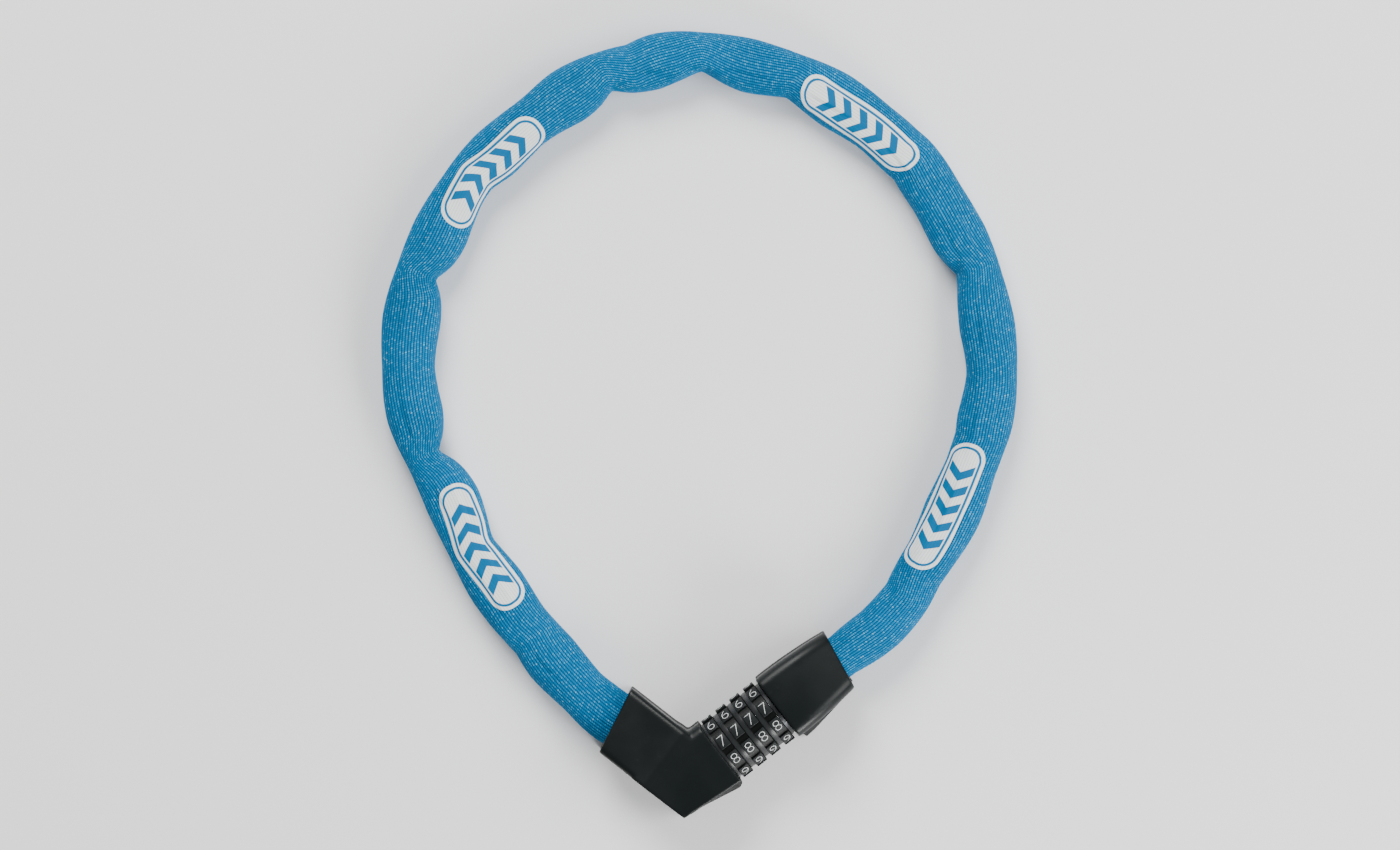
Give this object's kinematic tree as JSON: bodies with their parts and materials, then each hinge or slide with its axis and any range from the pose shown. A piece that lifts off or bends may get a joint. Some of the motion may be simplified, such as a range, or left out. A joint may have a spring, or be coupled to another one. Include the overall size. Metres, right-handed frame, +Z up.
{
  "type": "combination chain lock",
  "caption": "Number-dial combination lock whose bolt plug closes a square-link chain in a fabric sleeve into a loop.",
  "frame": {"origin": "middle of the outline of the closed loop, on the surface that the lock lies on", "axes": "+Z up, away from that surface; +Y from the lock housings towards the top of the loop; +X to the right"},
  "size_m": [0.2423, 0.2989, 0.0277],
  "materials": {
    "housing_black": "satin moulded",
    "dial_black": "moulded, fine texture on the pads",
    "zinc_core": "as cast",
    "brass_disc": "machined",
    "chain_steel": "hardened, zinc plated",
    "steel": "plated",
    "sleeve_blue": "ribbed woven polyester",
    "patch_white": "woven patch",
    "digit_white": "printed"
  },
  "bodies": {
    "lock_body": {"lock_cover_top": "housing_black", "lock_cover_bottom": "housing_black", "lock_core": "zinc_core", "lock_cover_screws": "steel", "lock_anchor_pin": "steel", "lock_sleeve_clamp": "steel", "barrel": "steel", "barrel_pin": "steel", "end_collar": "dial_black", "detent_spring_1": "steel", "detent_spring_2": "steel", "detent_spring_3": "steel", "detent_spring_4": "steel", "chain_links_0": "chain_steel", "sleeve_0": "sleeve_blue"},
    "dial_1": {"number_dial_1": "dial_black", "code_disc_1": "brass_disc"},
    "dial_2": {"number_dial_2": "dial_black", "code_disc_2": "brass_disc"},
    "dial_3": {"number_dial_3": "dial_black", "code_disc_3": "brass_disc"},
    "dial_4": {"number_dial_4": "dial_black", "code_disc_4": "brass_disc"},
    "chain_1": {"chain_links_1": "chain_steel", "sleeve_1": "sleeve_blue"},
    "chain_2": {"chain_links_2": "chain_steel", "sleeve_2": "sleeve_blue"},
    "chain_3": {"chain_links_3": "chain_steel", "sleeve_3": "sleeve_blue"},
    "chain_4": {"chain_links_4": "chain_steel", "sleeve_4": "sleeve_blue"},
    "plug": {"plug_cover_top": "housing_black", "plug_cover_bottom": "housing_black", "plug_core": "zinc_core", "plug_cover_screws": "steel", "plug_anchor_pin": "steel", "plug_sleeve_clamp": "steel", "locking_bolt": "steel", "bolt_pin": "steel", "chain_links_5": "chain_steel", "sleeve_5": "sleeve_blue"}
  },
  "joints": [
    {"name": "chain_bend_1", "type": "hinge", "parent": "lock_body", "child": "chain_1", "pos_m": [-0.06217, -0.08274, 0.00834], "axis": [0, 0, 1], "range_deg": [-7.44, 0]},
    {"name": "chain_bend_2", "type": "hinge", "parent": "chain_1", "child": "chain_2", "pos_m": [-0.11105, 0.0308, 0.008], "axis": [0, 0, 1], "range_deg": [0, 8.03]},
    {"name": "chain_bend_3", "type": "hinge", "parent": "chain_2", "child": "chain_3", "pos_m": [-0.02587, 0.13655, 0.008], "axis": [0, 0, 1], "range_deg": [0, 5.84]},
    {"name": "chain_bend_4", "type": "hinge", "parent": "chain_3", "child": "chain_4", "pos_m": [0.10831, 0.04588, 0.008], "axis": [0, 0, 1], "range_deg": [-4.71, 0]},
    {"name": "chain_bend_5", "type": "hinge", "parent": "chain_4", "child": "plug", "pos_m": [0.07371, -0.07117, 0.00875], "axis": [0, 0, 1], "range_deg": [-1.74, 0]},
    {"name": "dial_1_turn", "type": "hinge", "parent": "lock_body", "child": "dial_1", "pos_m": [0.01037, -0.12207, 0.014], "axis": [0.7891, 0.6143, 0], "continuous": true, "deforming": ["detent_spring_1"]},
    {"name": "dial_2_turn", "type": "hinge", "parent": "lock_body", "child": "dial_2", "pos_m": [0.01564, -0.11797, 0.014], "axis": [0.7891, 0.6143, 0], "continuous": true, "deforming": ["detent_spring_2"]},
    {"name": "dial_3_turn", "type": "hinge", "parent": "lock_body", "child": "dial_3", "pos_m": [0.02091, -0.11387, 0.014], "axis": [0.7891, 0.6143, 0], "continuous": true, "deforming": ["detent_spring_3"]},
    {"name": "dial_4_turn", "type": "hinge", "parent": "lock_body", "child": "dial_4", "pos_m": [0.02618, -0.10976, 0.014], "axis": [0.7891, 0.6143, 0], "continuous": true, "deforming": ["detent_spring_4"]}
  ],
  "couplings": [
    {"joint": "chain_bend_1", "follows": "chain_bend_2", "ratio": -0.92382},
    {"joint": "chain_bend_3", "follows": "chain_bend_2", "ratio": 0.72525},
    {"joint": "chain_bend_4", "follows": "chain_bend_2", "ratio": -0.58482},
    {"joint": "chain_bend_5", "follows": "chain_bend_2", "ratio": -0.21661}
  ]
}
